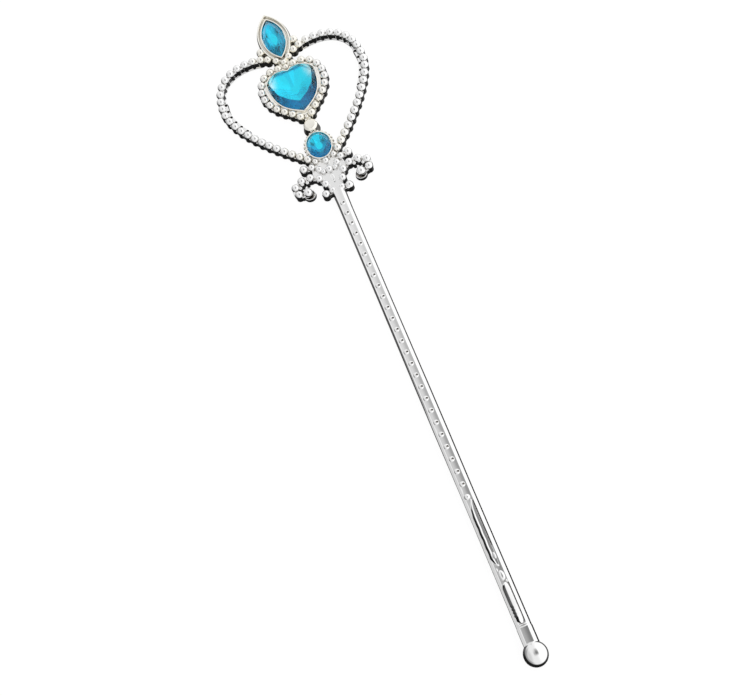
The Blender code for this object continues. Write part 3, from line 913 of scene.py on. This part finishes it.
moulding_mesh.shade_smooth()
moulding_mesh.set_sharp_from_angle(angle=math.radians(SHARP_ANGLE))
weighted = moulding.modifiers.new("weighted", "WEIGHTED_NORMAL")
weighted.keep_sharp = True
weighted.weight = 100
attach(moulding, "root")
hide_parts("wand_body")
print(f"edges of more than {SHARP_ANGLE} degrees are sharp")


# %% A check of a mesh
def triangles(mesh):
    """How many triangles a mesh's faces make."""
    return sum(len(polygon.vertices) - 2 for polygon in mesh.polygons)


def open_edges(mesh):
    """How many edges don't join exactly two faces. A closed mesh has none."""
    bm = bmesh.new()
    bm.from_mesh(mesh)
    count = sum(not edge.is_manifold for edge in bm.edges)
    bm.free()
    return count


print(f"the moulding has {triangles(moulding_mesh)} triangles and {open_edges(moulding_mesh)} open edges")

# %% [markdown]
# ## The stones
# A cut stone has a flat table on top, a crown of facets down to its widest line, the girdle, and a pavilion
# of facets under it that ends in a small flat culet. It's made from six rings of points. The table has every
# second place round the outline and the star facets have the others, so the crown is all triangles, and so is
# the pavilion. The heart's table comes closer to the edge at the top than at its point, so its lowest facets
# are the widest.

# %% The rings of a stone
GIRDLE_TOP, GIRDLE_FOOT = 3.85 * MM, 3.35 * MM
TABLE_LOW, TABLE_RISE = 0.15, 0.45  # where the table's lower share ends, and over how much it changes
STAR_OF_TABLE, STAR_OF_GIRDLE = 0.45, 0.55  # the star ring's share is mixed from these two
STAR_HEIGHT, LOWER_HEIGHT = 0.56, 0.55  # how far from the girdle to the table, and to the culet
LOWER_SHARE, LOWER_OF_CULET = 0.4, 0.8  # the lower ring's share, and how much of the culet's it adds


def stone_rings(right, corners, shares, box):
    """The rings of a stone: its table's, star facets', girdle's (two), lower facets' and culet's.

    A share says how far a ring is from the stone's centre, and the girdle's is 1. The shares given are the
    table's at the bottom, the table's at the top and the culet's. The corners are the table's."""
    low, high = box
    low_share, high_share, culet_share = shares
    girdle = whole(evenly(right, corners + 1))
    foot, head = right[0].y, max(point.y for point in right)
    centre = Vector((0, (foot + head) / 2))
    count = len(girdle)
    everywhere, evens, odds = range(count), range(0, count, 2), range(1, count, 2)
    table = []
    for point in girdle:
        rise = min(1, max(0, (point.y - foot) / (head - foot) - TABLE_LOW) / TABLE_RISE)
        table.append(low_share + (high_share - low_share) * rise)
    star = [share * STAR_OF_TABLE + STAR_OF_GIRDLE for share in table]
    lower = LOWER_SHARE + culet_share * LOWER_OF_CULET
    rings = (
        (table, high.z, evens),
        (star, GIRDLE_TOP + (high.z - GIRDLE_TOP) * STAR_HEIGHT, odds),
        ([1] * count, GIRDLE_TOP, everywhere),
        ([1] * count, GIRDLE_FOOT, everywhere),
        ([lower] * count, GIRDLE_FOOT + (low.z - GIRDLE_FOOT) * LOWER_HEIGHT, odds),
        ([culet_share] * count, low.z, evens),
    )
    return [[(*centre.lerp(girdle[k], share[k]), z) for k in picked] for share, z, picked in rings]


print(f"a girdle is {(GIRDLE_TOP - GIRDLE_FOOT) / MM:.1f} mm thick")


# %% The facets of a stone
def cut_stone(name, rings):
    """A closed stone through its six rings. The facets under its girdle get the second material."""
    mesh = bpy.data.meshes.new(name)
    bm = bmesh.new()
    table, star, upper, lower, below, culet = ([bm.verts.new(point) for point in ring] for ring in rings)
    half = len(table)
    bm.faces.new(table)
    for k in range(half):
        after = (k + 1) % half
        edge, mid, far = 2 * k, 2 * k + 1, 2 * after
        crown_facets = (
            (table[k], star[k], table[after]),
            (table[k], upper[edge], star[k]),
            (table[after], star[k], upper[far]),
            (star[k], upper[edge], upper[mid]),
            (star[k], upper[mid], upper[far]),
            (upper[edge], lower[edge], lower[mid], upper[mid]),
            (upper[mid], lower[mid], lower[far], upper[far]),
        )
        pavilion_facets = (
            (lower[edge], below[k], lower[mid]),
            (lower[mid], below[k], lower[far]),
            (lower[edge], culet[k], below[k]),
            (below[k], culet[after], lower[far]),
            (below[k], culet[k], culet[after]),
        )
        for facet in crown_facets:
            bm.faces.new(facet)
        for facet in pavilion_facets:
            bm.faces.new(facet).material_index = 1
    bm.faces.new(culet[::-1]).material_index = 1
    bmesh.ops.recalc_face_normals(bm, faces=bm.faces)
    bm.to_mesh(mesh)
    bm.free()
    return add_object(name, mesh)


# How many corners a stone's table has, and the shares of its table and culet.
CUTS = {"pointed": (8, (0.7, 0.62, 0.32)), "heart": (10, (0.70, 0.9, 0.2)), "oval": (8, (0.72, 0.66, 0.3))}
gems = {}
for name, (corners, shares) in CUTS.items():
    gem = cut_stone(f"{name}_gem", stone_rings(stones[name], corners, shares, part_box(f"{name}_stone")))
    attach(gem, "root")
    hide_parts(f"{name}_stone")
    gems[name] = gem
    print(f"{gem.name}: {triangles(gem.data)} triangles, {open_edges(gem.data)} open edges")

# %% [markdown]
# ## Silver plating
# The wand is one moulding of hard plastic that was plated in a vacuum, so it mirrors nearly everything and
# keeps the small unevenness of the plastic under it. A metal shader with a low roughness does that. In the
# crevices between the beads shade is painted into the colour, and the roughness rises. The Ambient
# Occlusion node finds them: it measures how open the surface is around each point. Close to the settings
# the plating is a little warmer. The noise is read in metres, so a scale of 350 gives clouds of about 3 mm.

# %% Silver plating
SILVER, WARM_SILVER = colour(0.95, 0.95, 0.95), colour(0.97, 0.945, 0.87)
# Painted shade: in the crevices the colour turns towards this dark brown.
PAINTED_CREVICE_SHADE = colour(0.22, 0.19, 0.15)
CREVICE_REACH, CREVICE_SHADE_SHARE = 1.5 * MM, 0.85
CLOUD_SCALE, GRAIN_SCALE = 350.0, 1500.0
BUMP_DEPTH, BUMP_STRENGTH, GRAIN_SHARE = 0.02 * MM, 0.25, 0.3
POLISH, CLOUDY, DULL = 0.02, 0.05, 0.15  # the roughness, and what clouds and crevices add to it

silver = bpy.data.materials.new("silver_plating")
plating = Recipe(silver)
place = plating.node("ShaderNodeTexCoord", (), (), 3)
x, y, _ = plating.axes(place)
only_the_wand = {"samples": 8, "only_local": True}
openness = plating.node("ShaderNodeAmbientOcclusion", only_the_wand, {"Distance": CREVICE_REACH}, 1)
crevice = (1 - openness).step(0.42, 0.88)
warmth = (1 - x.maths("ABSOLUTE").step(7 * MM, 17 * MM)) * y.step(66 * MM, 80 * MM)
clouds = plating.node("ShaderNodeTexNoise", (), {"Vector": place, "Scale": CLOUD_SCALE, "Detail": 3.0})
grain = plating.node("ShaderNodeTexNoise", (), {"Vector": place, "Scale": GRAIN_SCALE, "Detail": 2.0})
metal = plating.mixed(warmth, SILVER, WARM_SILVER)
# Painted shade in the crevices, from the occlusion mask.
metal = plating.mixed(crevice * CREVICE_SHADE_SHARE, metal, PAINTED_CREVICE_SHADE)
unevenness = {"Strength": BUMP_STRENGTH, "Distance": BUMP_DEPTH, "Height": clouds + grain * GRAIN_SHARE}
bump = plating.node("ShaderNodeBump", (), unevenness)
roughness = POLISH + clouds * CLOUDY + crevice * DULL
plating.shader(Base_Color=metal, Metallic=1, Roughness=roughness, Normal=bump)
moulding_mesh.materials.clear()
moulding_mesh.materials.append(silver)
print(f"{len(plating.tree.nodes)} nodes of silver plating")

# %% [markdown]
# ## Blue acrylic and its foil
# Each stone is clear acrylic that is dyed blue, with a mirror foil behind its pavilion. So light goes in,
# bounces off the foil and comes back blue. Shade is painted into the facets' colour by their direction:
# those that face down the wand or sideways are darker. The Geometry node's True Normal is the same all over
# a facet, so a noise that reads it gives each facet a tone of its own, as a painted reflection. A separate
# metal shader is the foil. High up on both sides the stones and their foil are paler: a painted highlight.

# %% Blue acrylic
# The clear blue is the stone's own colour, and the pale blue is a painted highlight.
CLEAR_BLUE, HIGHLIGHT_BLUE = colour(0.005, 0.76, 0.99), colour(0.85, 0.97, 0.97)
# These two darker blues are painted shade.
MID_SHADE_BLUE, DEEP_SHADE_BLUE = colour(0.002, 0.40, 0.74), colour(0.0, 0.14, 0.38)
ACRYLIC_IOR = 1.49


def facet_direction(recipe):
    """The direction in which a facet faces: the Geometry node's fourth output."""
    return recipe.node("ShaderNodeNewGeometry", (), (), 3)


def highlight_corners(recipe):
    """1 high up on both sides of a stone, where a highlight is painted, and 0 elsewhere."""
    across, upwards, _ = recipe.axes(recipe.node("ShaderNodeTexCoord", (), (), 0))
    return (across * 2 - 1).maths("ABSOLUTE").step(0.45, 0.95) * upwards.step(0.52, 0.70)


def acrylic(name, lower_shade, highlight_strength, side_shade):
    """Clear blue acrylic, with painted shade and painted highlights on its facets."""
    material = bpy.data.materials.new(name)
    dyed = Recipe(material)
    direction = facet_direction(dyed)
    east, north, up = dyed.axes(direction)
    speckle = dyed.node("ShaderNodeTexNoise", (), {"Vector": direction, "Scale": 7.0})
    sloping = 1 - up.step(0.93, 0.985)
    # Painted shade: facets facing down the wand or sideways turn darker, varied per facet by noise.
    down = (-north).step(0.0, 0.1) * lower_shade
    sideways = east.maths("ABSOLUTE").step(0.08, 0.4) * side_shade
    dark = down.maths("MAXIMUM", sideways) * sloping
    deep = (-north).step(0.1, 0.5) * 0.6 + speckle.step(0.3, 0.6) * 0.4
    # Painted highlight: paler high up on both sides, and on sloping facets that face up the wand.
    pale = highlight_corners(dyed) * 0.9 + north.step(0.02, 0.25) * sloping * 0.35
    light_tint = dyed.mixed(pale * highlight_strength, CLEAR_BLUE, HIGHLIGHT_BLUE)
    dark_tint = dyed.mixed(deep, MID_SHADE_BLUE, DEEP_SHADE_BLUE)
    tint = dyed.mixed(dark, light_tint, dark_tint)
    dyed.shader(Base_Color=tint, Roughness=0.02, IOR=ACRYLIC_IOR, Transmission_Weight=1)
    return material


print("the acrylic's index of refraction is", ACRYLIC_IOR)

# %% Foil, and both on the stones
BLUISH_FOIL, PALE_FOIL, FOIL_HIGHLIGHT = colour(0.7, 0.90, 0.97), colour(0.9, 1.0, 1.0), colour(1.0, 1.0, 1.0)
# For each stone: painted shade on lower facets, painted highlight on corners, painted shade on sideways
# facets.
PAINTED_FACET_LIGHT = {"pointed": (0.45, 0.35, 0.6), "heart": (1.0, 1.0, 0.0), "oval": (0.9, 0.6, 0.25)}

foil = bpy.data.materials.new("blue_foil")
mirror = Recipe(foil)
direction = facet_direction(mirror)
flat = mirror.axes(direction)[2].maths("ABSOLUTE").step(0.97, 0.99)
speckle = mirror.node("ShaderNodeTexNoise", (), {"Vector": direction, "Scale": 5.0})
# A random tone on each facet of the foil, as a painted reflection.
tone = mirror.mixed(speckle.step(0.35, 0.65), BLUISH_FOIL, PALE_FOIL)
# Painted highlight: the foil's flat culet and its corners high up on both sides turn white.
tone = mirror.mixed(flat, tone, FOIL_HIGHLIGHT)
tone = mirror.mixed(highlight_corners(mirror), tone, FOIL_HIGHLIGHT)
mirror.shader(Base_Color=tone, Roughness=0.2, Metallic=1)
for name, facet_light in PAINTED_FACET_LIGHT.items():
    gems[name].data.materials.append(acrylic(f"{name}_gem_acrylic", *facet_light))
    gems[name].data.materials.append(foil)
print("materials:", ", ".join(material.name for material in bpy.data.materials))
